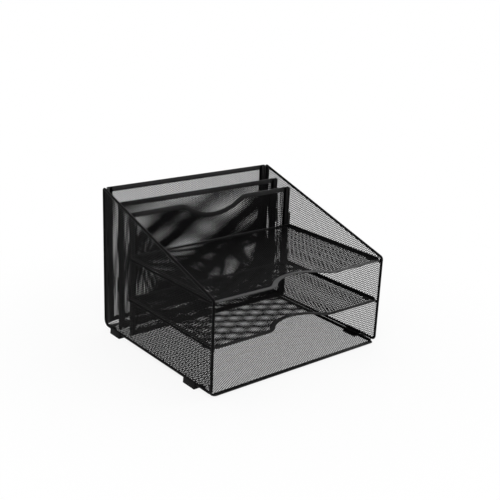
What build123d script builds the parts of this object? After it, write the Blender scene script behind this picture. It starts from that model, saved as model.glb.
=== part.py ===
from build123d import *
from math import asin, ceil, cos, hypot, sin
import os

# Mesh desk organiser: three letter trays in front of two upright file slots, all hung between
# two mesh side panels. X runs across the width, Y from front to back and Z up. The origin lies
# on the desk, in the middle of the footprint.

# Side panels: a bent wire each, filled with mesh
frame_width = 330.0  # between the centres of the left and the right wire
frame_depth = 291.0  # between the centres of the front and the rear post
front_height = 140.0  # of the front post, between wire centres
rear_height = 230.0  # of the rear post, between wire centres
frame_lift = 8.0  # centre of the bottom wire above the desk
wire = 4.2  # diameter of the frame wire
front_bend = 5.0  # centre-line radius of both front corners
peak_bend = 2.6  # of the upper rear corner
heel_bend = 10.0  # of the lower rear corner
cross_wire = 3.6  # diameter of the wires that carry the trays and the front divider
mesh = 0.7  # thickness of every mesh sheet
clearance = 0.3  # between pieces that slip past each other
fit = 0.05  # between a wire or a mesh edge and what holds it

# Trays
top_tray_drop = 4.5  # underside of the top tray below the front post's upper wire centre
middle_tray_rise = 67.6  # underside of the middle tray above the bottom wire's centre
bottom_tray_drop = 5.1  # underside of the bottom tray below the bottom wire's centre
hem = 1.4  # thickness of a tray's front and back border
hem_width = 7.5
tray_corner = 6.5  # plan radius of a tray's front corners
lip_height = 4.2  # of a tray's side edges, from its underside
lip = 1.4  # thickness of those edges
ledge_width = 4.0  # of a side edge's foot, under the mesh, counted from its outer face
scoop_width = 130.0  # finger recess in the front edge of the upper trays
scoop_depth = 28.0

# Openings in the mesh sheets: large diamonds that stand for the many small ones of real mesh
diamond_length = 44.0  # from one opening to the next, along a row
diamond_width = 24.0  # from one row to the next but one
strand = 6.0  # width of the metal between two openings
selvage = 3.0  # width of the metal left along a sheet's edges
smallest_opening = 30.0  # area, in square millimetres; a smaller corner stays closed

# Upright panels
slot_depth = 33.7  # from one upright panel to the next
border = 1.4  # thickness of a panel's solid border
rail_height = 8.0  # of the border along the top and the bottom
stile_width = 10.4  # of the border up each side
flange_depth = 4.2  # of the flanges turned forward at the sides, from the border's face
back_panel_rise = 1.0  # its top above the sloping wire's centre
rear_divider_drop = 5.6  # its top below that centre
front_divider_drop = 3.2
panel_gap = 6.0  # between the bottom tray's floor and a panel
dip_width = 130.0  # finger dip in the front divider's top edge
dip_depth = 21.4
shoulder_radius = 24.5  # where a dip or a scoop leaves the straight edge

# Hooks and tabs that hold the trays and the panels
hook = 1.4  # thickness
tray_hook_length = 10.0
tray_hook_inset = 25.0  # middle of a hook from the tray's front or back edge
panel_tab_depth = 2.4
panel_tab_height = 24.0  # tall enough to meet the metal between two openings

# Feet
foot_length = 28.0
front_foot_inset = 49.7  # middle of a front foot behind the front post
rear_foot_inset = 34.7  # middle of a rear foot in front of the rear post
foot_reach = 4.2  # outer face beyond the wire's centre, at the desk
foot_base = 9.0  # reach in under the bottom tray, from the wire's centre
foot_skin = 1.1  # of the clip beside the wire
foot_shoulder = 1.2  # top of that skin above the wire's centre
foot_grip = 0.6  # of the clip over the wire, up and inwards
foot_lip = 1.2  # top of the clip's inner edge below the wire's centre

# Worked out from the sizes above
wire_r = wire / 2
side_x = frame_width / 2
front_y = -frame_depth / 2
rear_y = frame_depth / 2
tan_slope = (rear_height - front_height) / frame_depth
mesh_face = side_x - mesh / 2
cross_x = mesh_face - fit - cross_wire / 2
tray_front = front_y - wire_r
tray_back = rear_y + wire_r
tray_half = side_x - wire_r - clearance
panel_half = cross_x - cross_wire / 2 - clearance
hook_tip = mesh_face - clearance
bottom_level = frame_lift - bottom_tray_drop
middle_level = frame_lift + middle_tray_rise
top_level = frame_lift + front_height - top_tray_drop
panel_base = bottom_level + hem + panel_gap
rear_divider_y = rear_y - slot_depth
front_divider_y = rear_divider_y - slot_depth
flange_front = border / 2 + flange_depth
upper_tray_back = front_divider_y - flange_front - clearance
side_corners = [
    (front_y, frame_lift),
    (front_y, frame_lift + front_height),
    (rear_y, frame_lift + rear_height),
    (rear_y, frame_lift),
]
side_bends = [front_bend, front_bend, peak_bend, heel_bend]


def box(x0, x1, y0, y1, z0, z1):
    return Pos((x0 + x1) / 2, (y0 + y1) / 2, (z0 + z1) / 2) * Box(abs(x1 - x0), y1 - y0, z1 - z0)


def plate(outline, plane, thickness):
    """A flat outline given its thickness, half on each side of the plane."""
    return extrude(plane.offset(-thickness / 2) * outline, thickness)


def hollow_edge(width, depth, inset, half):
    """Right half of an edge with a hollow, from the hollow's bottom out to the end at half.

    The hollow's arc meets the shoulder's arc on a common tangent. An inset edge runs that far
    inside the metal, so it bounds a border of even width.
    """
    reach = width / 2
    hollow_radius = (reach**2 + depth**2) / (2 * depth) - shoulder_radius
    turn = asin(reach / (hollow_radius + shoulder_radius))

    def on_hollow(angle):
        radius = hollow_radius + inset
        return (radius * sin(angle), depth - hollow_radius + radius * cos(angle))

    def on_shoulder(angle):
        radius = shoulder_radius - inset
        return (reach - radius * sin(angle), shoulder_radius - radius * cos(angle))

    return [
        ThreePointArc(on_hollow(0), on_hollow(turn / 2), on_hollow(turn)),
        ThreePointArc(on_shoulder(turn), on_shoulder(turn / 2), on_shoulder(0)),
        Line(on_shoulder(0), (half, inset)),
    ]


def sheet(half, near, far, hollow=None):
    """Flat outline across the width, from near to far, with or without a hollow in its near edge."""
    if hollow is None:
        return Pos(0, (near + far) / 2) * Rectangle(2 * half, far - near)
    right = hollow_edge(*hollow, near, half)
    left = [mirror(edge, Plane.YZ) for edge in right]
    rest = Polyline((half, near), (half, far), (-half, far), (-half, near))
    return make_face([*right, *left, rest])


def diamonds(room):
    """Diamond openings in staggered rows, cut short where they reach the edge of the room."""
    extent = room.bounding_box()
    columns = ceil(extent.size.X / diamond_length)
    rows = ceil(extent.size.Y / diamond_width)
    side = hypot(diamond_length, diamond_width) / 2
    scale = 1 - strand * side * 2 / (diamond_length * diamond_width)
    x, y = scale * diamond_length / 2, scale * diamond_width / 2
    opening = make_face(Polyline((x, 0), (0, y), (-x, 0), (0, -y), close=True))
    places = [
        *GridLocations(diamond_length, diamond_width, columns, rows),
        *GridLocations(diamond_length, diamond_width, columns + 1, rows + 1),
    ]
    whole = Compound([Pos(extent.center()) * place * opening for place in places])
    return [face for face in (whole & room).faces() if face.area > smallest_opening]


def mesh_sheet(half, near, far, hollow=None):
    """Outline of a sheet of mesh across the width, with its openings."""
    room = sheet(half - selvage, near + selvage, far - selvage, hollow)
    return sheet(half, near, far, hollow) - diamonds(room)


def side_loop(side):
    """Centre line of a side panel's wire."""
    corners = [(side * side_x, y, z) for y, z in side_corners]
    return FilletPolyline(*corners, radius=side_bends, close=True)


def side_frame(side):
    loop = side_loop(side)
    section = Plane(origin=loop @ 0, z_dir=loop % 0) * Circle(wire_r)
    return sweep(section, path=loop)


def side_mesh(side):
    """Sheet inside the wire, drawn flat with the depth along X and the height along Y."""
    loop = FilletPolyline(*side_corners, radius=side_bends, close=True)
    inside = offset(make_face(loop), -wire_r - fit)
    corners = make_face(Polyline(*side_corners, close=True))
    room = offset(corners, -wire_r - fit - selvage, kind=Kind.INTERSECTION)
    middle = Plane(origin=(side * side_x, 0, 0), x_dir=(0, 1, 0), z_dir=(1, 0, 0))
    return plate(inside - diamonds(room), middle, mesh)


def tray_wire(side, level):
    """Wire along the side mesh, from the front post to just behind the front divider.

    Its top lies just under the level that rests on it.
    """
    start = front_y + wire_r + fit
    end = front_divider_y + border
    place = Pos(side * cross_x, (start + end) / 2, level - fit - cross_wire / 2)
    return place * Rot(90, 0, 0) * Cylinder(cross_wire / 2, end - start)


def tray_front_rim(level, scoop):
    behind = hem_width + (scoop[1] if scoop else 0) + hem_width
    rim = sheet(tray_half, 0, behind, scoop) - sheet(tray_half, hem_width, behind, scoop)
    corners = rim.vertices().filter_by(lambda v: abs(v.Y) < fit and abs(v.X) > tray_half - fit)
    rim = fillet(corners, min(tray_corner, hem_width - fit))
    return plate(Pos(0, tray_front) * rim, Plane.XY.offset(level + hem / 2), hem)


def tray_mesh(level, back, rear_width, scoop):
    far = back - tray_front - rear_width - fit
    floor = mesh_sheet(tray_half - lip - fit, hem_width + fit, far, scoop)
    return plate(Pos(0, tray_front) * floor, Plane.XY.offset(level + hem - mesh / 2), mesh)


def tray_side_rim(side, level, back, rear_width):
    """Upright edge with a ledge at its foot, on which the mesh lies."""
    front = tray_front + hem_width
    inner = tray_half - lip
    edge = box(side * inner, side * tray_half, front, back, level, level + lip_height)
    ledge_end = tray_half - ledge_width
    ledge = box(side * ledge_end, side * inner, front, back - rear_width, level, level + hem - mesh)
    return edge + ledge


def tray_rear_rim(level, back, rear_width, height):
    inner = tray_half - lip
    return box(-inner, inner, back - rear_width, back, level, level + height)


def hook_places(back):
    for side in (-1, 1):
        for middle in (tray_front + tray_hook_inset, back - tray_hook_inset):
            yield side, middle - tray_hook_length / 2, middle + tray_hook_length / 2


def upper_tray_hooks(level):
    """Hooks that drop inside the carrying wires and turn out under them."""
    foot_top = level - cross_wire - fit - clearance
    inner = panel_half - hook
    hooks = []
    for side, y0, y1 in hook_places(upper_tray_back):
        leg = box(side * inner, side * panel_half, y0, y1, foot_top - hook, level)
        toe = box(side * panel_half, side * hook_tip, y0, y1, foot_top - hook, foot_top)
        hooks.append(leg + toe)
    return hooks


def bottom_tray_hooks():
    """Hooks that rise from the side edges and lie over the bottom wires."""
    wire_top = frame_lift + wire_r + fit
    inner = tray_half - lip
    hooks = []
    for side, y0, y1 in hook_places(tray_back):
        leg = box(side * inner, side * tray_half, y0, y1, bottom_level + lip_height, wire_top + hook)
        arm = box(side * tray_half, side * hook_tip, y0, y1, wire_top, wire_top + hook)
        hooks.append(leg + arm)
    return hooks


def slope_height(y):
    """Centre of the sloping wire over the desk."""
    return frame_lift + front_height + (y - front_y) * tan_slope


def panel_plane(y, top):
    """Plane of an upright panel: its own second axis runs down from the panel's top."""
    return Plane(origin=(0, y, top), x_dir=(1, 0, 0), z_dir=(0, 1, 0))


def panel_flange(side, y, top):
    """Flange turned forward along the side panel, its top running with the slope."""
    front = y - flange_front
    inner = side * (panel_half - border)
    profile = Polyline(
        (inner, front, panel_base),
        (inner, front, top - flange_front * tan_slope),
        (inner, y, top),
        (inner, y, panel_base),
        close=True,
    )
    return extrude(make_face(profile), border, dir=(side, 0, 0))


def panel_rim(y, top, dip):
    height = top - panel_base
    window = sheet(panel_half - stile_width, rail_height, height - rail_height, dip)
    ring = sheet(panel_half, 0, height, dip) - window
    flanges = panel_flange(-1, y, top) + panel_flange(1, y, top)
    return plate(ring, panel_plane(y, top), border) + flanges


def panel_mesh(y, top, dip):
    edge = rail_height + fit
    window = mesh_sheet(panel_half - stile_width - fit, edge, top - panel_base - edge, dip)
    return plate(window, panel_plane(y, top), mesh)


def panel_hooks(y):
    """Upright tabs that reach from the flanges to the side mesh.

    Those of the front divider stand on the carrying wires.
    """
    front = y - flange_front
    back = front + panel_tab_depth
    tabs = []
    for side in (-1, 1):
        for level in (middle_level, top_level):
            x0, x1 = side * panel_half, side * hook_tip
            tabs.append(box(x0, x1, front, back, level, level + panel_tab_height))
    return tabs


def foot(side, middle):
    """Clip-on foot: a block under the wire, a lip over its outer half, a pad under the tray."""
    pad_top = -bottom_tray_drop
    outline = Polyline(
        (-foot_base, -frame_lift),
        (foot_reach, -frame_lift),
        (wire_r + foot_skin, foot_shoulder),
        (foot_grip, wire_r + foot_grip),
        (foot_grip, -foot_lip),
        (-wire_r, -foot_lip),
        (-wire_r, pad_top),
        (-foot_base, pad_top),
        close=True,
    )
    section = make_face(outline) - Circle(wire_r + fit)
    across = Plane(origin=(side * side_x, middle, frame_lift), x_dir=(side, 0, 0), z_dir=(0, -side, 0))
    return plate(section, across, foot_length)


def save(name, *solids):
    shape = solids[0] if len(solids) == 1 else Compound(solids)
    shape.label = name
    export_step(shape, f"parts/{name}.step")


def save_tray(name, level, back, scoop, rear_width, rear_height_here, hooks):
    save(f"{name}_mesh", tray_mesh(level, back, rear_width, scoop))
    save(f"{name}_front_rim", tray_front_rim(level, scoop))
    save(f"{name}_rear_rim", tray_rear_rim(level, back, rear_width, rear_height_here))
    save(f"{name}_left_rim", tray_side_rim(-1, level, back, rear_width))
    save(f"{name}_right_rim", tray_side_rim(1, level, back, rear_width))
    save(f"{name}_hooks", *hooks)


def save_panel(name, y, top, dip=None):
    save(f"{name}_rim", panel_rim(y, top, dip))
    save(f"{name}_mesh", panel_mesh(y, top, dip))
    save(f"{name}_hooks", *panel_hooks(y))


os.makedirs("parts", exist_ok=True)

for side, word in ((-1, "left"), (1, "right")):
    save(f"{word}_side_frame", side_frame(side))
    save(f"{word}_side_mesh", side_mesh(side))
    save(f"{word}_top_cross_wire", tray_wire(side, top_level))
    save(f"{word}_middle_cross_wire", tray_wire(side, middle_level))
    save(f"front_{word}_foot", foot(side, front_y + front_foot_inset))
    save(f"rear_{word}_foot", foot(side, rear_y - rear_foot_inset))

scoop = (scoop_width, scoop_depth)
for name, level in (("top_tray", top_level), ("middle_tray", middle_level)):
    save_tray(name, level, upper_tray_back, scoop, lip, lip_height, upper_tray_hooks(level))
save_tray("bottom_tray", bottom_level, tray_back, None, hem_width, hem, bottom_tray_hooks())

rear_divider_top = slope_height(rear_divider_y) - rear_divider_drop
front_divider_top = slope_height(front_divider_y) - front_divider_drop
save_panel("back_panel", rear_y, slope_height(rear_y) + back_panel_rise)
save_panel("rear_divider", rear_divider_y, rear_divider_top)
save_panel("front_divider", front_divider_y, front_divider_top, dip=(dip_width, dip_depth))
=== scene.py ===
from math import asin, ceil, cos, pi, radians, sin, sqrt, tan

import bmesh
import bpy
from mathutils import Matrix, Vector


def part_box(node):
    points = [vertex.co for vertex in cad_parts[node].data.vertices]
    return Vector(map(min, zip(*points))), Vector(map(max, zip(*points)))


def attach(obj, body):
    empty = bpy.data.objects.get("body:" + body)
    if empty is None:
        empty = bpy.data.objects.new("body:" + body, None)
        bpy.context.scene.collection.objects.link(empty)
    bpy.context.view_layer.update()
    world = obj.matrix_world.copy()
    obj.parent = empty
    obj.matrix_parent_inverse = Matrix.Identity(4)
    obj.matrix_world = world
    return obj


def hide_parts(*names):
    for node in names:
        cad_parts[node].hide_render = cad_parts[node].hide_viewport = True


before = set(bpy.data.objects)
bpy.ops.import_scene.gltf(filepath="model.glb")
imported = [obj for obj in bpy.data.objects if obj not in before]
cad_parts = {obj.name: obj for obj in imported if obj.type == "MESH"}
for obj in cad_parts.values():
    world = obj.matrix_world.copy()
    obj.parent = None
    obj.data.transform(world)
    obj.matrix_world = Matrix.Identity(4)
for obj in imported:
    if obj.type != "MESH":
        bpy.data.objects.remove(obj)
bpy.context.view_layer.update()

# Letter tray: bent wire sides, expanded-metal sheets, folded sheet borders, rubber feet.
# Everything is in metres, and MM turns a size in millimetres into metres.
MM = 0.001
SIDES = {"left": -1, "right": 1}

# ---------------------------------------------------------------- sizes that the solids give
# A node's box gives its lowest and highest corner.


def low(node):
    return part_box(node)[0]


def high(node):
    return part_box(node)[1]


def middle(node):
    return (low(node) + high(node)) / 2


WIRE_R = (high("left_side_frame").x - low("left_side_frame").x) / 2
SIDE_X = middle("right_side_frame").x
FRONT_Y = low("left_side_frame").y + WIRE_R
REAR_Y = high("left_side_frame").y - WIRE_R
BASE_Z = low("left_side_frame").z + WIRE_R
TRAY_FRONT = low("bottom_tray_front_rim").y
TRAY_HALF = high("bottom_tray_front_rim").x
HEM = high("bottom_tray_front_rim").z - low("bottom_tray_front_rim").z
HEM_WIDTH = high("bottom_tray_front_rim").y - TRAY_FRONT
LIP = TRAY_HALF - high("bottom_tray_rear_rim").x
LIP_HEIGHT = high("top_tray_left_rim").z - low("top_tray_left_rim").z
LEDGE_WIDTH = high("top_tray_left_rim").x - low("top_tray_left_rim").x
PANEL_HALF = high("back_panel_rim").x
PANEL_BASE = low("back_panel_rim").z
BORDER = 2 * (high("back_panel_rim").y - middle("back_panel_mesh").y)
RAIL_HEIGHT = high("back_panel_rim").z - high("back_panel_mesh").z
STILE_WIDTH = PANEL_HALF - high("back_panel_mesh").x
HOOK_TIP = high("back_panel_hooks").x

# ---------------------------------------------------------------- sizes that a box doesn't show

# Wires
FRONT_BEND = 5.0 * MM  # radius of the bends, to the middle of the wire
PEAK_BEND = 2.6 * MM
HEEL_BEND = 10.0 * MM
SIDE_RISE = 90.0 * MM  # of the sloping wire, from the front to the rear
PANEL_RISE = 1.0 * MM  # top of the back panel above the middle of that wire
WELD_FLARE = 1.28  # thickness of a cross wire at its weld, against its own
WELD_TAPER = 1.1 * MM
WIRE_EASE = 0.5 * MM  # taken off the far end of a cross wire
SLOPE = SIDE_RISE / (REAR_Y - FRONT_Y)
REAR_TOP_Z = high("back_panel_rim").z - PANEL_RISE
FRONT_TOP_Z = REAR_TOP_Z - SIDE_RISE

# Expanded metal
DIAMOND_LONG = 5.9 * MM
DIAMOND_SHORT = 3.5 * MM
STRAND = 1.0 * MM
SHEET = 0.45 * MM  # thickness
TILT = 0.26 * MM  # lean of the strands out of the sheet, at a diamond's tip
SMALLEST_CELL = 0.4  # share of a whole diamond; a smaller one at a cut stays closed
LONGEST_MESH = 250.0 * MM  # a deeper floor is made as two lengths
MESH_LEVEL = 0.8 * MM  # middle of a floor's sheet above the underside of its borders
SELVAGE = 8.5 * MM  # plain strip along the rear of a side's sheet
CORNER_LAP = WIRE_R / 3  # reach of a side sheet's cut corners past the middle of the wire

# Trays
PLATE = 0.7 * MM  # plain steel of the ledges and of the selvage
TRAY_CORNER = 6.5 * MM  # radius of the front corners, seen from above
HEM_ROUND = 0.5 * MM
HEM_INSET = 0.3 * MM  # ends of the bottom tray's rear border, inside the tray's sides
EDGE_BEND = 1.2 * MM  # radius between a side edge and its ledge, on the outside
EDGE_LAP = 0.8 * MM  # reach of a side edge into the front border

# Hollows in an edge: the trays' finger scoops and the front divider's dip
HOLLOW_WIDTH = 130.0 * MM
SCOOP_DEPTH = 28.0 * MM
DIP_DEPTH = 21.4 * MM
SHOULDER_RADIUS = 24.5 * MM  # where a hollow leaves the straight edge

# Panels
FOLD_BEND = 1.9 * MM  # radius of the fold between a stile and its flange, on the outside
BORDER_ROUND = 0.4 * MM
STILE_ROUND = 0.3 * MM

# Hooks under and over the wires, and the panels' tabs
HOOK = 1.4 * MM  # thickness
HOOK_BEND = 1.8 * MM  # radius, on the outside
HOOK_LENGTH = 10.0 * MM
HOOK_ROUND = 0.25 * MM
HOOK_ROOT = 2.0 * MM  # reach of the bottom tray's hooks down its edge
TAB_HEIGHT = 24.0 * MM
TAB_CORNER = 0.6 * MM
TAB_ROUND = 0.3 * MM

# Feet
FOOT_SKIN = 1.1 * MM  # of the clip beside the wire
FOOT_SHOULDER = 1.2 * MM  # top of that skin above the middle of the wire
FOOT_GRIP = 0.6 * MM  # of the clip over the wire, and from its tip to the middle of the wire
FOOT_LIP = 1.2 * MM  # top of the clip's inner edge below the middle of the wire
FOOT_PAD_TOP = low("bottom_tray_front_rim").z - BASE_Z  # the pad meets the tray's underside
FOOT_ROUND = 0.45 * MM

# How finely shapes are made
RING_SIDES = 24  # of a round wire
BEND_STEP = radians(9)  # widest turn from one ring of a wire's bend to the next
BEND_LEAST = 4  # steps in a bend, however small its turn
ARC_STEP = 6.0  # degrees, of an arc in an outline
ARC_LEAST = 2
CREASE = radians(28)  # an edge that turns by more is shaded sharp
SHARP = radians(40)  # an edge that turns by more is rounded
FOOT_SHARP = radians(30)
SLACK = 0.1 * MM  # for telling corners apart
SAME_PLACE = 1e-7  # corners nearer than this are one
MERGE = 1e-6  # the same for the two ends of a wire's loop

# ---------------------------------------------------------------- finishes

# Cells to the metre of the noises that vary a finish
PATCHES = 38.0
PEBBLES = 1500.0
FLECKS = 5200.0
BLOOM = 120.0
GRAIN = 2600.0

BLACK = (0.003, 0.003, 0.0032)
TONE_SPREAD = 0.3  # share by which the black paint's colour varies both ways
PATCH_SHARE = 0.55  # of that variation; the rest comes from the flecks
PATCH_SHEEN = 0.12  # variation in roughness from the patches, and from the flecks
FLECK_SHEEN = 0.08
PEBBLE_DEPTH = 0.12 * MM

RUBBER_DARK = (0.004, 0.004, 0.004)
RUBBER_PALE = (0.008, 0.008, 0.0083)
RUBBER_ROUGHNESS = 0.625
RUBBER_SHEEN = 0.15  # variation in roughness
RUBBER_GLOSS = 0.06
RUBBER_GRAIN = 0.35  # strength of the grain's relief
GRAIN_DEPTH = 0.1 * MM

# A Mix node has several sockets of one name, so these are counted
MIX_FACTOR, MIX_FIRST, MIX_SECOND, MIX_COLOUR = 0, 6, 7, 2


class Value:
    """A node's output that takes part in sums: each operation adds its Math node."""

    def __init__(self, finish, socket):
        self.finish = finish
        self.socket = socket

    def sum(self, operation, first, second):
        return self.finish.node("Math", {"operation": operation}, [first, second])

    def __add__(self, other):
        return self.sum("ADD", self, other)

    def __radd__(self, other):
        return self.sum("ADD", other, self)

    def __sub__(self, other):
        return self.sum("SUBTRACT", self, other)

    def __rsub__(self, other):
        return self.sum("SUBTRACT", other, self)

    def __mul__(self, other):
        return self.sum("MULTIPLY", self, other)

    def __rmul__(self, other):
        return self.sum("MULTIPLY", other, self)


class Finish:
    """A node tree, and one method that adds any node to it."""

    def __init__(self, holder):
        holder.use_nodes = True
        self.tree = holder.node_tree
        self.tree.nodes.clear()

    def node(self, kind, settings, values, output=0):
        """Adds a node, sets it up, and fills its sockets from a list or by name."""
        made = self.tree.nodes.new(f"ShaderNode{kind}")
        for name, setting in settings.items():
            setattr(made, name, setting)
        named = values.items() if isinstance(values, dict) else enumerate(values)
        for key, value in named:
            if isinstance(value, Value):
                self.tree.links.new(value.socket, made.inputs[key])
            else:
                made.inputs[key].default_value = value
        return Value(self, made.outputs[output]) if made.outputs else made

    def place(self):
        return self.node("TexCoord", {}, {}, output="Object")

    def noise(self, place, scale, detail=2.0):
        return self.node("TexNoise", {}, {"Vector": place, "Scale": scale, "Detail": detail})

    def blend(self, factor, first, second):
        values = {MIX_FACTOR: factor, MIX_FIRST: (*first, 1), MIX_SECOND: (*second, 1)}
        return self.node("Mix", {"data_type": "RGBA"}, values, output=MIX_COLOUR)

    def relief(self, height, strength, depth):
        values = {"Strength": strength, "Distance": depth, "Height": height}
        return self.node("Bump", {}, values)

    def surface(self, colour, roughness, relief, gloss):
        """Ends a material with its shader."""
        values = {
            "Base Color": colour, "Roughness": roughness, "Normal": relief,
            "Specular IOR Level": gloss,
        }
        shader = self.node("BsdfPrincipled", {}, values)
        self.node("OutputMaterial", {}, {"Surface": shader})


def powder_coat(name, roughness, peel, gloss):
    """Black powder coat: fine orange peel, patches of slightly different sheen, faint flecks."""
    material = bpy.data.materials.new(name)
    finish = Finish(material)
    place = finish.place()
    patches = finish.noise(place, PATCHES, detail=3.0)
    pebbles = finish.noise(place, PEBBLES)
    flecks = finish.noise(place, FLECKS, detail=1.0)
    tone = patches * PATCH_SHARE + flecks * (1 - PATCH_SHARE)
    dark = [level * (1 - TONE_SPREAD) for level in BLACK]
    pale = [level * (1 + TONE_SPREAD) for level in BLACK]
    sheen = roughness + (patches - 0.5) * PATCH_SHEEN + (flecks - 0.5) * FLECK_SHEEN
    relief = finish.relief(pebbles, peel, PEBBLE_DEPTH)
    finish.surface(finish.blend(tone, dark, pale), sheen, relief, gloss)
    return material


def moulded_rubber(name):
    """Matt moulded rubber with a fine grain."""
    material = bpy.data.materials.new(name)
    finish = Finish(material)
    place = finish.place()
    grain = finish.noise(place, GRAIN)
    bloom = finish.noise(place, BLOOM, detail=3.0)
    sheen = RUBBER_ROUGHNESS + (bloom - 0.5) * RUBBER_SHEEN
    relief = finish.relief(grain, RUBBER_GRAIN, GRAIN_DEPTH)
    finish.surface(finish.blend(bloom, RUBBER_DARK, RUBBER_PALE), sheen, relief, RUBBER_GLOSS)
    return material


FINISHES = {
    "wire_steel": powder_coat("wire_steel", roughness=0.30, peel=0.12, gloss=0.04),
    "border_steel": powder_coat("border_steel", roughness=0.38, peel=0.16, gloss=0.34),
    "mesh_steel": powder_coat("mesh_steel", roughness=0.48, peel=0.10, gloss=0.04),
    "foot_rubber": moulded_rubber("foot_rubber"),
}

# ---------------------------------------------------------------- ways of making a piece


def face_outward(bm):
    """Turns the faces of each closed shell outward."""
    bmesh.ops.recalc_face_normals(bm, faces=bm.faces)
    waiting = set(bm.faces)
    while waiting:
        shell, rim = [], [waiting.pop()]
        while rim:
            face = rim.pop()
            shell.append(face)
            near = {other for edge in face.edges for other in edge.link_faces} & waiting
            waiting -= near
            rim += near
        volume = sum(face.verts[0].co.dot(face.normal) * face.calc_area() for face in shell)
        if volume < 0:
            bmesh.ops.reverse_faces(bm, faces=shell)


def put_in_place(bm, node, slot, part="", crease=CREASE):
    """Ends a piece: soft shading between its creases, its finish, and the solid it stands for.

    A crease of 0 leaves every facet flat.
    """
    face_outward(bm)
    for face in bm.faces:
        face.smooth = crease > 0
    for edge in bm.edges:
        edge.smooth = edge.calc_face_angle(0) < crease
    name = f"finished_{node}{part}"
    mesh = bpy.data.meshes.new(name)
    bm.to_mesh(mesh)
    bm.free()
    mesh.materials.append(FINISHES[slot])
    piece = bpy.data.objects.new(name, mesh)
    bpy.context.scene.collection.objects.link(piece)
    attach(piece, "root")
    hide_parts(node)


def add(bm, own):
    """Adds a finished shape to a piece."""
    held = bpy.data.meshes.new("held")
    own.to_mesh(held)
    own.free()
    bm.from_mesh(held)
    bpy.data.meshes.remove(held)


def axes(x, y, z, origin):
    """Sends a piece's own X, Y and Z along these directions, and its origin here."""
    return Matrix.Translation(origin) @ Matrix((x, y, z)).transposed().to_4x4()


def flat_at(y, z):
    """Own X across, own Y to the back, own Z up."""
    return axes((1, 0, 0), (0, 1, 0), (0, 0, 1), (0, y, z))


def upright_at(y, top):
    """Own X across, own Y down from the top, own Z to the back."""
    return axes((1, 0, 0), (0, 0, -1), (0, 1, 0), (0, y, top))


def side_on_at(x, y=0, z=0):
    """Own X to the back, own Y up, own Z to the right."""
    return axes((0, 1, 0), (0, 0, 1), (1, 0, 0), (x, y, z))


def section_at(side, y, z, out=0):
    """Own X away from the middle, own Y up, own Z to the back, starting this far out."""
    return axes((side, 0, 0), (0, 0, 1), (0, 1, 0), (side * out, y, z))


class Pen:
    """Draws a flat outline from a first corner, then fills it."""

    def __init__(self, bm, x, y):
        self.bm = bm
        self.verts = [bm.verts.new((x, y, 0))]

    def to(self, x, y):
        """A straight edge to this corner."""
        tip = self.verts[-1]
        if (tip.co - Vector((x, y, 0))).length > SAME_PLACE:
            made = bmesh.ops.extrude_vert_indiv(self.bm, verts=[tip])["verts"][0]
            made.co = (x, y, 0)
            self.verts.append(made)
        return self

    def around(self, x, y, turn, step=ARC_STEP):
        """An arc about this centre, its turn and its steps in degrees."""
        steps = max(ARC_LEAST, ceil(abs(turn) / step))
        geom = [self.verts[-1]]
        for _ in range(steps):
            made = bmesh.ops.spin(
                self.bm, geom=geom, cent=(x, y, 0), axis=(0, 0, 1),
                angle=radians(turn) / steps, steps=1,
            )["geom_last"]
            geom = [part for part in made if isinstance(part, bmesh.types.BMVert)]
            self.verts += geom
        return self

    def face(self):
        """Closes the outline and fills it."""
        if (self.verts[-1].co - self.verts[0].co).length < SAME_PLACE:
            bmesh.ops.weld_verts(self.bm, targetmap={self.verts[-1]: self.verts[0]})
            self.verts.pop()
        face = self.bm.faces.new(self.verts)
        face.normal_update()
        return face


def drawn_out(bm, faces, depth):
    """Gives faces a thickness along their own Z."""
    made = bmesh.ops.extrude_face_region(bm, geom=faces)["geom"]
    new = [part for part in made if isinstance(part, bmesh.types.BMVert)]
    bmesh.ops.translate(bm, verts=new, vec=(0, 0, depth))


def soften(bm, width, segments=3, sharper=SHARP):
    """Rounds the sharp edges of a piece."""
    bm.normal_update()
    sharp = [edge for edge in bm.edges if edge.calc_face_angle(0) > sharper]
    bmesh.ops.bevel(
        bm, geom=sharp, offset=width, offset_type="OFFSET", segments=segments,
        profile=0.5, affect="EDGES", material=-1, clamp_overlap=True,
    )


def hollow_arc(depth):
    """Half the width of a hollow, the radius of its middle arc and half the turn of that arc."""
    reach = HOLLOW_WIDTH / 2
    radius = (reach**2 + depth**2) / (2 * depth) - SHOULDER_RADIUS
    return reach, radius, asin(reach / (radius + SHOULDER_RADIUS))


def hollow(pen, depth, inset, way):
    """Draws shoulder, hollow, shoulder: to the left when way is 1, to the right when it is -1."""
    reach, radius, half_turn = hollow_arc(depth)
    turn = half_turn * way * 180 / pi
    pen.to(way * reach, inset)
    pen.around(way * reach, SHOULDER_RADIUS, -turn)
    pen.around(0, depth - radius, 2 * turn, step=ARC_STEP / 2)
    pen.around(-way * reach, SHOULDER_RADIUS, -turn)


def past_hollow(point, depth, inset):
    """Whether a point lies on the open side of a hollow's edge line."""
    reach, radius, turn = hollow_arc(depth)
    x, y = abs(point.x), point.y
    edge_x = (radius + inset) * sin(turn)
    if x > reach:
        return y < inset
    if x > edge_x:
        drop = SHOULDER_RADIUS - inset
        return y < SHOULDER_RADIUS - sqrt(max(drop**2 - (reach - x)**2, 0))
    return y < depth - radius + sqrt((radius + inset)**2 - x**2)


def ring(bm, centre, ahead, radius):
    """An open round ring, square to the way ahead."""
    turned = ahead.to_track_quat("Z", "X").to_matrix().to_4x4()
    place = Matrix.Translation(centre) @ turned
    made = bmesh.ops.create_circle(bm, segments=RING_SIDES, radius=radius, matrix=place)["verts"]
    return list({edge for vert in made for edge in vert.link_edges})


def last_ring(geom):
    """The ring of edges in what an operator has just made."""
    verts = {part for part in geom if isinstance(part, bmesh.types.BMVert)}
    return [p for p in geom if isinstance(p, bmesh.types.BMEdge) and verts.issuperset(p.verts)]


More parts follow.
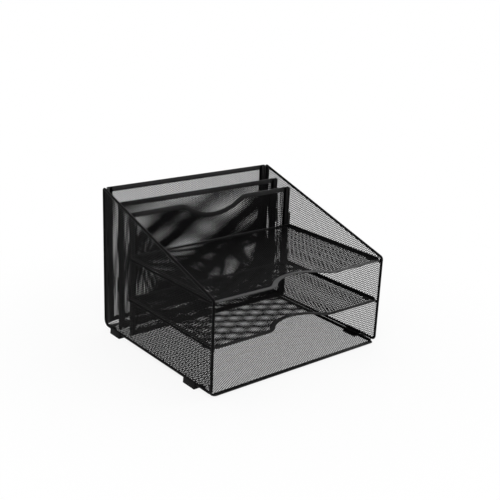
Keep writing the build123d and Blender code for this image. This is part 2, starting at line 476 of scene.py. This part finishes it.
def ring_verts(edges):
    """The vertices of these edges, once each."""
    return list({vert for edge in edges for vert in edge.verts})


def run_on(bm, edges, way, scale=1.0):
    """Draws an open ring along a straight run, to another thickness if asked."""
    edges = last_ring(bmesh.ops.extrude_edge_only(bm, edges=edges)["geom"])
    verts = ring_verts(edges)
    bmesh.ops.translate(bm, verts=verts, vec=way)
    if scale != 1.0:
        centre = sum((vert.co for vert in verts), Vector()) / len(verts)
        there = Matrix.Translation(-centre)
        bmesh.ops.scale(bm, verts=verts, vec=(scale,) * 3, space=there)
    return edges


def bent_wire(bm, corners, bends):
    """A closed round wire through these corners, each with its own bend."""
    start = (corners[-1] + corners[0]) / 2
    first = edges = ring(bm, start, (corners[0] - start).normalized(), WIRE_R)
    here = start
    for i, (corner, bend) in enumerate(zip(corners, bends)):
        ahead = (corner - here).normalized()
        after = (corners[(i + 1) % len(corners)] - corner).normalized()
        turn = ahead.angle(after)
        axis = ahead.cross(after).normalized()
        setback = bend * tan(turn / 2)
        edges = run_on(bm, edges, corner - ahead * setback - here)
        centre = corner - ahead * setback + axis.cross(ahead) * bend
        steps = max(BEND_LEAST, ceil(turn / BEND_STEP))
        made = bmesh.ops.spin(
            bm, geom=edges, cent=centre, axis=axis, angle=turn, steps=steps
        )["geom_last"]
        edges = last_ring(made)
        here = corner + after * setback
    edges = run_on(bm, edges, start - here)
    bmesh.ops.remove_doubles(bm, verts=ring_verts(first + edges), dist=MERGE)


def diamonds(x0, x1, y0, y1, inside=None):
    """Flat expanded metal over this rectangle, its diamonds' long way along X.

    A grid turned to stand on its corners is trimmed here; open_diamonds then insets each
    diamond by half a strand and opens it, and leans the strands as they do where a press
    has drawn the sheet open.
    """
    bm = bmesh.new()
    centre = Vector(((x0 + x1) / 2, (y0 + y1) / 2, 0))
    cells = ceil((x1 - x0) / DIAMOND_LONG + (y1 - y0) / DIAMOND_SHORT) + 1
    bmesh.ops.create_grid(bm, x_segments=cells, y_segments=cells, size=cells / 2)
    bmesh.ops.rotate(bm, verts=bm.verts, cent=(0, 0, 0), matrix=Matrix.Rotation(pi / 4, 3, "Z"))
    size = (DIAMOND_LONG / sqrt(2), DIAMOND_SHORT / sqrt(2), 1)
    bmesh.ops.scale(bm, verts=bm.verts, vec=size)
    bmesh.ops.translate(bm, verts=bm.verts, vec=centre)
    for place, outward in (
        ((x0, 0, 0), (-1, 0, 0)),
        ((x1, 0, 0), (1, 0, 0)),
        ((0, y0, 0), (0, -1, 0)),
        ((0, y1, 0), (0, 1, 0)),
    ):
        trim(bm, place, outward)
    if inside:
        hidden = [face for face in bm.faces if not inside(face.calc_center_median())]
        bmesh.ops.delete(bm, geom=hidden, context="FACES")
    return bm


def trim(bm, place, outward):
    """Cuts away what lies outward of this place."""
    geom = [*bm.verts, *bm.edges, *bm.faces]
    bmesh.ops.bisect_plane(bm, geom=geom, plane_co=place, plane_no=outward, clear_outer=True)


def open_diamonds(bm, last_cut=None):
    """Turns trimmed diamonds into strands, cuts those if asked, and gives them a thickness."""
    whole = DIAMOND_LONG * DIAMOND_SHORT / 2
    cells = [face for face in bm.faces if face.calc_area() > SMALLEST_CELL * whole]
    bmesh.ops.inset_individual(bm, faces=cells, thickness=STRAND / 2, use_even_offset=True)
    for cell in cells:
        middle_y = cell.calc_center_median().y
        for vert in cell.verts:
            vert.co.z = TILT * (vert.co.y - middle_y) / (DIAMOND_SHORT / 2)
    bmesh.ops.delete(bm, geom=cells, context="FACES_ONLY")
    if last_cut:
        trim(bm, *last_cut)
    bmesh.ops.translate(bm, verts=bm.verts, vec=(0, 0, -SHEET / 2))
    drawn_out(bm, bm.faces[:], SHEET)


# ---------------------------------------------------------------- side panels

SIDE_BENDS = [FRONT_BEND, FRONT_BEND, PEAK_BEND, HEEL_BEND]


def side_corners(x):
    """Where the straight runs of a side's wire would meet."""
    return [
        Vector((x, FRONT_Y, BASE_Z)),
        Vector((x, FRONT_Y, FRONT_TOP_Z)),
        Vector((x, REAR_Y, REAR_TOP_Z)),
        Vector((x, REAR_Y, BASE_Z)),
    ]


def side_frame(word, side):
    """The closed loop of wire round a side."""
    bm = bmesh.new()
    bent_wire(bm, side_corners(side * SIDE_X), SIDE_BENDS)
    put_in_place(bm, f"{word}_side_frame", "wire_steel")


def side_mesh(word, side):
    """The side's sheet, trimmed to the middle of its wire, with a plain strip at the rear.

    The strip's lower corner is cut off inside the heel's bend.
    """
    strip = REAR_Y - SELVAGE
    bm = diamonds(FRONT_Y, strip + STRAND / 2, BASE_Z, REAR_TOP_Z)
    trim(bm, (FRONT_Y, FRONT_TOP_Z, 0), (-SLOPE, 1, 0))
    corners = [Vector(corner.yz) for corner in side_corners(0)]
    for i, (corner, bend) in enumerate(zip(corners, SIDE_BENDS)):
        back = (corners[i - 1] - corner).normalized()
        ahead = (corners[(i + 1) % len(corners)] - corner).normalized()
        inward = (back + ahead).normalized()
        cut = corner + inward * (bend / sin(back.angle(ahead) / 2) - bend - CORNER_LAP)
        trim(bm, cut.to_3d(), (-inward).to_3d())
    open_diamonds(bm)
    own = bmesh.new()
    pen = Pen(own, strip, BASE_Z)
    pen.to(REAR_Y - HEEL_BEND / 2, BASE_Z).to(REAR_Y, BASE_Z + HEEL_BEND / 2)
    pen.to(REAR_Y, REAR_TOP_Z).to(strip, REAR_TOP_Z - SELVAGE * SLOPE)
    drawn_out(own, [pen.face()], PLATE)
    bmesh.ops.translate(own, verts=own.verts, vec=(0, 0, -PLATE / 2))
    add(bm, own)
    bm.transform(side_on_at(side * SIDE_X))
    put_in_place(bm, f"{word}_side_mesh", "mesh_steel", crease=0)


def cross_wire(node):
    """A straight wire, flared where it is welded to the front post, its far end eased."""
    radius = high(node).x - middle(node).x
    start = Vector((middle(node).x, FRONT_Y + WIRE_R / 2, middle(node).z))
    plain = high(node).y - start.y - 2 * WELD_TAPER - WIRE_EASE
    bm = bmesh.new()
    first = edges = ring(bm, start, Vector((0, 1, 0)), radius * WELD_FLARE)
    edges = run_on(bm, edges, (0, WELD_TAPER, 0))
    edges = run_on(bm, edges, (0, WELD_TAPER, 0), 1 / WELD_FLARE)
    edges = run_on(bm, edges, (0, plain, 0))
    edges = run_on(bm, edges, (0, WIRE_EASE, 0), (radius - WIRE_EASE) / radius)
    for rim in (first, edges):
        bmesh.ops.contextual_create(bm, geom=rim)
    put_in_place(bm, node, "wire_steel")


# ---------------------------------------------------------------- trays


def front_hem(name, scooped):
    """Folded front border, with rounded corners and a finger scoop."""
    node = f"{name}_front_rim"
    bm = bmesh.new()
    pen = Pen(bm, TRAY_HALF, HEM_WIDTH)
    pen.to(TRAY_HALF, TRAY_CORNER)
    pen.around(TRAY_HALF - TRAY_CORNER, TRAY_CORNER, -90)
    if scooped:
        hollow(pen, SCOOP_DEPTH, 0, 1)
    pen.to(TRAY_CORNER - TRAY_HALF, 0)
    pen.around(TRAY_CORNER - TRAY_HALF, TRAY_CORNER, -90)
    pen.to(-TRAY_HALF, HEM_WIDTH)
    if scooped:
        hollow(pen, SCOOP_DEPTH, HEM_WIDTH, -1)
    drawn_out(bm, [pen.face()], HEM)
    soften(bm, HEM_ROUND)
    bm.transform(flat_at(TRAY_FRONT, low(node).z))
    put_in_place(bm, node, "border_steel")


def side_edge(name, word, side):
    """Upright edge with a rounded fold along its top and a ledge under the mesh."""
    node = f"{name}_{word}_rim"
    start, end = low(node).y - EDGE_LAP, high(node).y
    fold = LIP / 2
    bm = bmesh.new()
    pen = Pen(bm, TRAY_HALF - LEDGE_WIDTH, 0)
    pen.to(TRAY_HALF - EDGE_BEND, 0)
    pen.around(TRAY_HALF - EDGE_BEND, EDGE_BEND, 90, step=15)
    pen.to(TRAY_HALF, LIP_HEIGHT - fold)
    pen.around(TRAY_HALF - fold, LIP_HEIGHT - fold, 180, step=18)
    pen.to(TRAY_HALF - LIP, PLATE)
    pen.to(TRAY_HALF - LEDGE_WIDTH, PLATE)
    drawn_out(bm, [pen.face()], end - start)
    bm.transform(section_at(side, start, low(node).z))
    put_in_place(bm, node, "border_steel")


def rear_edge(name):
    """Upright edge across the back, with the same fold along its top."""
    node = f"{name}_rear_rim"
    fold = LIP / 2
    half = TRAY_HALF - fold
    bm = bmesh.new()
    pen = Pen(bm, 0, 0)
    pen.to(LIP, 0)
    pen.to(LIP, LIP_HEIGHT - fold)
    pen.around(fold, LIP_HEIGHT - fold, 180, step=18)
    drawn_out(bm, [pen.face()], 2 * half)
    bm.transform(side_on_at(-half, low(node).y, low(node).z))
    put_in_place(bm, node, "border_steel")


def rear_hem(name):
    """Flat folded border across the back."""
    node = f"{name}_rear_rim"
    half = TRAY_HALF - HEM_INSET
    bm = bmesh.new()
    pen = Pen(bm, -half, 0)
    pen.to(half, 0).to(half, HEM_WIDTH).to(-half, HEM_WIDTH)
    drawn_out(bm, [pen.face()], HEM)
    soften(bm, HEM_ROUND)
    bm.transform(flat_at(low(node).y, low(node).z))
    put_in_place(bm, node, "border_steel")


def tray_mesh(name, scooped, rear_cover):
    """The tray's floor, cut to the middle of its borders. A deep one is two lengths."""
    node = f"{name}_mesh"
    half = TRAY_HALF - LIP / 2
    back = high(f"{name}_rear_rim").y - TRAY_FRONT - rear_cover
    half_way = (0, back / 2, 0)
    lengths = {"": None}
    if back > LONGEST_MESH:
        lengths = {"_front_half": (half_way, (0, 1, 0)), "_rear_half": (half_way, (0, -1, 0))}
    for part, cut in lengths.items():
        bm = diamonds(-half, half, HEM_WIDTH / 2, back, scooped and floor_inside)
        open_diamonds(bm, cut)
        bm.transform(flat_at(TRAY_FRONT, low(f"{name}_front_rim").z + MESH_LEVEL))
        put_in_place(bm, node, "mesh_steel", part, crease=0)


def floor_inside(point):
    """Whether a diamond of a scooped floor stays."""
    return not past_hollow(point, SCOOP_DEPTH, HEM_WIDTH / 2)


def tray_hooks(name, draw):
    """A front and a rear hook on each side, their section drawn by one of the next two."""
    node = f"{name}_hooks"
    bm = bmesh.new()
    for side in SIDES.values():
        for start in (low(node).y, high(node).y - HOOK_LENGTH):
            own = bmesh.new()
            drawn_out(own, [draw(own, node).face()], HOOK_LENGTH)
            soften(own, HOOK_ROUND, segments=2)
            own.transform(section_at(side, start, 0))
            add(bm, own)
    put_in_place(bm, node, "border_steel")


def hook_under(bm, node):
    """Drops inside the carrying wire and turns out under it."""
    root, foot, inner = high(node).z + PLATE, low(node).z, PANEL_HALF - HOOK
    pen = Pen(bm, inner, root)
    pen.to(inner, foot + HOOK_BEND)
    pen.around(inner + HOOK_BEND, foot + HOOK_BEND, 90, step=18)
    pen.to(HOOK_TIP, foot)
    pen.to(HOOK_TIP, foot + HOOK)
    inside = HOOK_BEND - HOOK
    pen.to(PANEL_HALF + inside, foot + HOOK)
    pen.around(PANEL_HALF + inside, foot + HOOK_BEND, -90, step=30)
    pen.to(PANEL_HALF, root)
    return pen


def hook_over(bm, node):
    """Rises from the tray's edge and turns out over the bottom wire."""
    top, inner, root = high(node).z, TRAY_HALF - LIP, low(node).z - HOOK_ROOT
    inside = HOOK_BEND - HOOK
    pen = Pen(bm, TRAY_HALF, root)
    pen.to(TRAY_HALF, top - HOOK_BEND)
    pen.around(TRAY_HALF + inside, top - HOOK_BEND, -90, step=30)
    pen.to(HOOK_TIP, top - HOOK)
    pen.to(HOOK_TIP, top)
    pen.to(inner + HOOK_BEND, top)
    pen.around(inner + HOOK_BEND, top - HOOK_BEND, 90, step=18)
    pen.to(inner, root)
    return pen


# ---------------------------------------------------------------- upright panels


def panel_border(bm, height, dipped):
    """Flat border round a panel's mesh, its sides ending inside the folded stiles."""
    half = PANEL_HALF - STILE_WIDTH / 2
    pen = Pen(bm, half, height)
    pen.to(half, 0)
    if dipped:
        hollow(pen, DIP_DEPTH, 0, 1)
    pen.to(-half, 0)
    pen.to(-half, height)
    face = pen.face()
    bmesh.ops.inset_region(
        bm, faces=[face], thickness=RAIL_HEIGHT, use_boundary=True, use_even_offset=True
    )
    for vert in face.verts:
        if abs(vert.co.x) > half - RAIL_HEIGHT - SLACK:
            vert.co.x += (RAIL_HEIGHT - STILE_WIDTH / 2) * (1 if vert.co.x > 0 else -1)
    bmesh.ops.delete(bm, geom=[face], context="FACES_ONLY")
    bmesh.ops.translate(bm, verts=bm.verts, vec=(0, 0, -BORDER / 2))
    drawn_out(bm, bm.faces[:], BORDER)
    soften(bm, BORDER_ROUND)


def folded_stile(bm, side, height, flange):
    """Stile folded forward into a flange with a rounded nose and a sloping top."""
    front, back, inner = -flange, BORDER / 2, PANEL_HALF - STILE_WIDTH
    nose = BORDER / 2
    own = bmesh.new()
    pen = Pen(own, inner, back)
    pen.to(inner, back - BORDER)
    pen.to(PANEL_HALF - FOLD_BEND, back - BORDER)
    pen.around(PANEL_HALF - FOLD_BEND, back - FOLD_BEND, -90, step=30)
    pen.to(PANEL_HALF - BORDER, front + nose)
    pen.around(PANEL_HALF - nose, front + nose, 180, step=22.5)
    pen.to(PANEL_HALF, back - FOLD_BEND)
    pen.around(PANEL_HALF - FOLD_BEND, back - FOLD_BEND, 90, step=15)
    drawn_out(own, [pen.face()], height)
    geom = [*own.verts, *own.edges, *own.faces]
    cut = bmesh.ops.bisect_plane(
        own, geom=geom, plane_co=(0, 0, height), plane_no=(0, -SLOPE, 1), clear_outer=True
    )["geom_cut"]
    bmesh.ops.contextual_create(own, geom=[p for p in cut if isinstance(p, bmesh.types.BMEdge)])
    own.transform(axes((side, 0, 0), (0, 0, 1), (0, -1, 0), (0, height, 0)))
    soften(own, STILE_ROUND, segments=2)
    add(bm, own)


def panel_rim(name, dipped):
    """Border round a panel, its sides folded forward into flanges."""
    node = f"{name}_rim"
    top = high(node).z
    height = top - PANEL_BASE
    plane = middle(f"{name}_mesh").y
    bm = bmesh.new()
    panel_border(bm, height, dipped)
    for side in SIDES.values():
        folded_stile(bm, side, height, plane - low(node).y)
    bm.transform(upright_at(plane, top))
    put_in_place(bm, node, "border_steel")


def panel_mesh(name, dipped):
    """The panel's sheet, cut to the middle of its border."""
    node = f"{name}_mesh"
    top = high(f"{name}_rim").z
    half = PANEL_HALF - STILE_WIDTH / 2
    bm = diamonds(-half, half, RAIL_HEIGHT / 2, top - PANEL_BASE - RAIL_HEIGHT / 2,
                  dipped and panel_inside)
    open_diamonds(bm)
    bm.transform(upright_at(middle(node).y, top))
    put_in_place(bm, node, "mesh_steel", crease=0)


def panel_inside(point):
    """Whether a diamond of a dipped panel stays."""
    return not past_hollow(point, DIP_DEPTH, RAIL_HEIGHT / 2)


def panel_hooks(name):
    """Upright tabs between the flanges and the side sheets."""
    node = f"{name}_hooks"
    bm = bmesh.new()
    near, far, corner = low(node).y, high(node).y, TAB_CORNER
    for side in SIDES.values():
        for level in (low(node).z, high(node).z - TAB_HEIGHT):
            own = bmesh.new()
            pen = Pen(own, PANEL_HALF - HOOK / 2, near)
            pen.to(HOOK_TIP - corner, near)
            pen.around(HOOK_TIP - corner, near + corner, 90, step=22.5)
            pen.to(HOOK_TIP, far - corner)
            pen.around(HOOK_TIP - corner, far - corner, 90, step=22.5)
            pen.to(PANEL_HALF - HOOK / 2, far)
            drawn_out(own, [pen.face()], TAB_HEIGHT)
            soften(own, TAB_ROUND, segments=2)
            own.transform(axes((side, 0, 0), (0, 1, 0), (0, 0, 1), (0, 0, level)))
            add(bm, own)
    put_in_place(bm, node, "border_steel")


# ---------------------------------------------------------------- feet


def foot(node, side):
    """Clip-on rubber foot: a block under the wire, a lip over its outer half, a pad inside."""
    outer = max(abs(low(node).x), abs(high(node).x)) - SIDE_X
    inner = SIDE_X - min(abs(low(node).x), abs(high(node).x))
    bm = bmesh.new()
    pen = Pen(bm, -inner, -BASE_Z)
    pen.to(outer, -BASE_Z)
    pen.to(WIRE_R + FOOT_SKIN, FOOT_SHOULDER)
    pen.to(FOOT_GRIP, WIRE_R + FOOT_GRIP)
    pen.to(FOOT_GRIP, -FOOT_LIP)
    pen.to(-WIRE_R, -FOOT_LIP)
    pen.to(-WIRE_R, FOOT_PAD_TOP)
    pen.to(-inner, FOOT_PAD_TOP)
    drawn_out(bm, [pen.face()], high(node).y - low(node).y)
    soften(bm, FOOT_ROUND, sharper=FOOT_SHARP)
    bm.transform(section_at(side, low(node).y, BASE_Z, SIDE_X))
    put_in_place(bm, node, "foot_rubber")


# ---------------------------------------------------------------- every piece

for word, side in SIDES.items():
    side_frame(word, side)
    side_mesh(word, side)
    cross_wire(f"{word}_top_cross_wire")
    cross_wire(f"{word}_middle_cross_wire")
    foot(f"front_{word}_foot", side)
    foot(f"rear_{word}_foot", side)

for name in ("top_tray", "middle_tray", "bottom_tray"):
    upper = name != "bottom_tray"
    front_hem(name, upper)
    for word, side in SIDES.items():
        side_edge(name, word, side)
    if upper:
        rear_edge(name)
        tray_hooks(name, hook_under)
    else:
        rear_hem(name)
        tray_hooks(name, hook_over)
    tray_mesh(name, upper, LIP / 2 if upper else HEM_WIDTH / 2)

for name in ("back_panel", "rear_divider", "front_divider"):
    dipped = name == "front_divider"
    panel_rim(name, dipped)
    panel_mesh(name, dipped)
    panel_hooks(name)

# ---------------------------------------------------------------- floor, light, camera

FLOOR_REACH = 6.0
FLOOR_DROP = 0.1 * MM  # keeps the feet's undersides clear of the floor
FLOOR_GREY = 0.8
GLOW_NEAR, GLOW_FAR = 0.88, 1.0  # share of the floor that glows, under the tray and away from it
GLOW_START, GLOW_END = 0.2, 0.6  # distances from the middle between which that share rises
ROOM_GREY = 0.55  # what the surroundings shed on the tray
LAMP_AIM = Vector((0, 0, 0.1))

CAMERA_PLACE = (-0.8121, -0.9948, 0.5816)
CAMERA_YAW, CAMERA_PITCH, CAMERA_ROLL = radians(39.741), radians(18.619), radians(2.481)
CAMERA_LENS = 61.61  # millimetres, as is the sensor
CAMERA_SENSOR = 36


def grey(level):
    return level, level, level, 1


def white_rays(finish):
    """1 for a ray that sees the backdrop: from the camera, by gloss or through glass."""
    seen, gloss, glass = (
        finish.node("LightPath", {}, {}, output=f"Is {ray} Ray")
        for ray in ("Camera", "Glossy", "Transmission")
    )
    return finish.node("Math", {"operation": "MINIMUM"}, [seen + gloss + glass, 1.0])


def floor():
    """A white floor that keeps the tray's shadow."""
    mesh = bpy.data.meshes.new("floor")
    bm = bmesh.new()
    bmesh.ops.create_grid(bm, x_segments=4, y_segments=4, size=FLOOR_REACH)
    bmesh.ops.translate(bm, verts=bm.verts, vec=(0, 0, -FLOOR_DROP))
    bm.to_mesh(mesh)
    bm.free()
    piece = bpy.data.objects.new("floor", mesh)
    bpy.context.scene.collection.objects.link(piece)
    material = bpy.data.materials.new("floor")
    finish = Finish(material)
    distance = finish.node(
        "VectorMath", {"operation": "LENGTH"}, [finish.place()], output="Value"
    )
    glow = finish.node(
        "MapRange", {"interpolation_type": "SMOOTHSTEP"},
        [distance, GLOW_START, GLOW_END, GLOW_NEAR, GLOW_FAR],
    )
    plain = finish.node("BsdfDiffuse", {}, {"Color": grey(FLOOR_GREY)})
    white = finish.node("Emission", {}, {"Color": grey(1), "Strength": 1.0})
    mixed = finish.node("MixShader", {}, {0: white_rays(finish) * glow, 1: plain, 2: white})
    finish.node("OutputMaterial", {}, {"Surface": mixed})
    mesh.materials.append(material)


def backdrop():
    """A white surround that sheds a plain grey light."""
    world = bpy.data.worlds.new("backdrop")
    bpy.context.scene.world = world
    finish = Finish(world)
    dim = finish.node("Background", {}, {"Color": grey(ROOM_GREY), "Strength": 1.0})
    white = finish.node("Background", {}, {"Color": grey(1), "Strength": 1.0})
    mixed = finish.node("MixShader", {}, {0: white_rays(finish), 1: dim, 2: white})
    finish.node("OutputWorld", {}, {"Surface": mixed})


def lamp(name, place, size, power):
    """A soft square lamp, turned to the tray."""
    light = bpy.data.lights.new(name, "AREA")
    light.size = size
    light.energy = power
    piece = bpy.data.objects.new(name, light)
    piece.location = place
    piece.rotation_euler = (LAMP_AIM - Vector(place)).to_track_quat("-Z", "Y").to_euler()
    bpy.context.scene.collection.objects.link(piece)


def camera():
    """Looks down on the tray from the front left."""
    yaw, pitch, roll = CAMERA_YAW, CAMERA_PITCH, CAMERA_ROLL
    ahead = Vector((sin(yaw) * cos(pitch), cos(yaw) * cos(pitch), -sin(pitch)))
    level = Vector((cos(yaw), -sin(yaw), 0))
    upright = level.cross(ahead)
    across = level * cos(roll) + upright * sin(roll)
    up = upright * cos(roll) - level * sin(roll)
    data = bpy.data.cameras.new("camera")
    data.lens = CAMERA_LENS
    data.sensor_width = CAMERA_SENSOR
    piece = bpy.data.objects.new("camera", data)
    piece.matrix_world = axes(across, up, -ahead, CAMERA_PLACE)
    bpy.context.scene.collection.objects.link(piece)
    bpy.context.scene.camera = piece


floor()
backdrop()
lamp("key_lamp", (-0.9, -0.9, 1.6), size=1.2, power=14)
lamp("fill_lamp", (1.3, -0.6, 1.0), size=1.2, power=6)
lamp("top_lamp", (0.2, 0.4, 1.9), size=1.6, power=10)
camera()
bpy.context.scene.view_settings.view_transform = "Standard"
